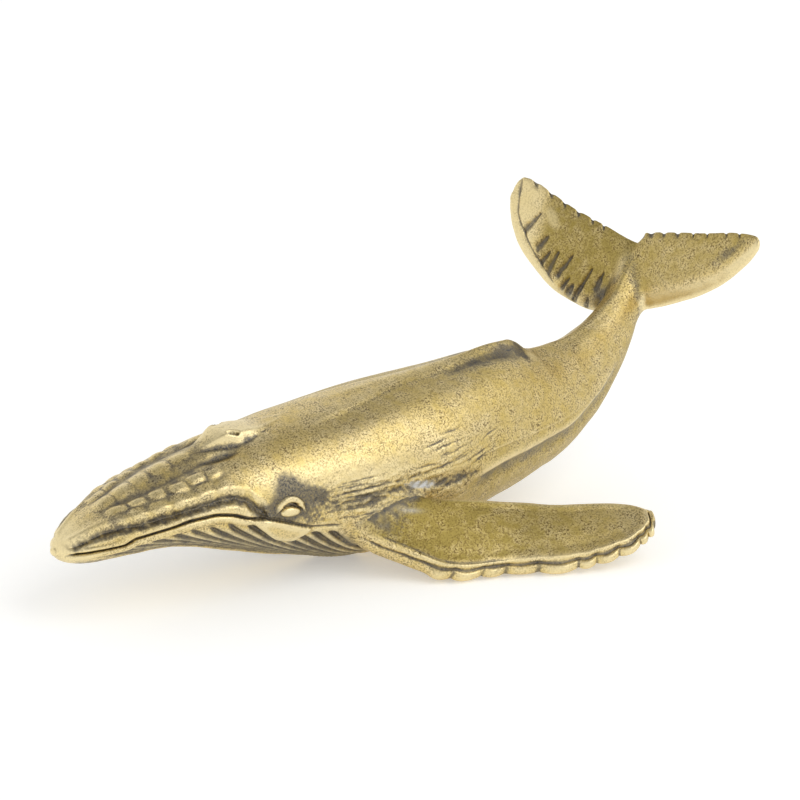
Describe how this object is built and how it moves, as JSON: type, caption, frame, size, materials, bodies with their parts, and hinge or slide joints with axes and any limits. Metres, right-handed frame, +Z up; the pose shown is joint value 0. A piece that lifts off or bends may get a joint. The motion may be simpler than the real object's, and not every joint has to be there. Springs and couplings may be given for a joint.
{
  "type": "whale figurine",
  "caption": "Solid cast humpback whale with raised tail flukes, knobbed flippers and a pleated throat, lying on its belly as a shelf ornament or paperweight.",
  "frame": {"origin": "middle of the bounding box's underside, on the surface the whale lies on", "axes": "+X from head to tail, +Y to the whale's right, +Z up"},
  "size_m": [0.0822, 0.0434, 0.0288],
  "materials": {
    "cast_brass": "worn satin with dark patina in the hollows",
    "drawn_brass": "drawn rod",
    "solder": "dull silvery"
  },
  "bodies": {
    "root": {"trunk": "cast_brass", "left_flipper": "cast_brass", "right_flipper": "cast_brass", "tail_flukes": "cast_brass", "left_flipper_dowel": "drawn_brass", "right_flipper_dowel": "drawn_brass", "tail_dowel": "drawn_brass", "left_flipper_solder": "solder", "right_flipper_solder": "solder", "tail_solder": "solder"}
  },
  "joints": []
}
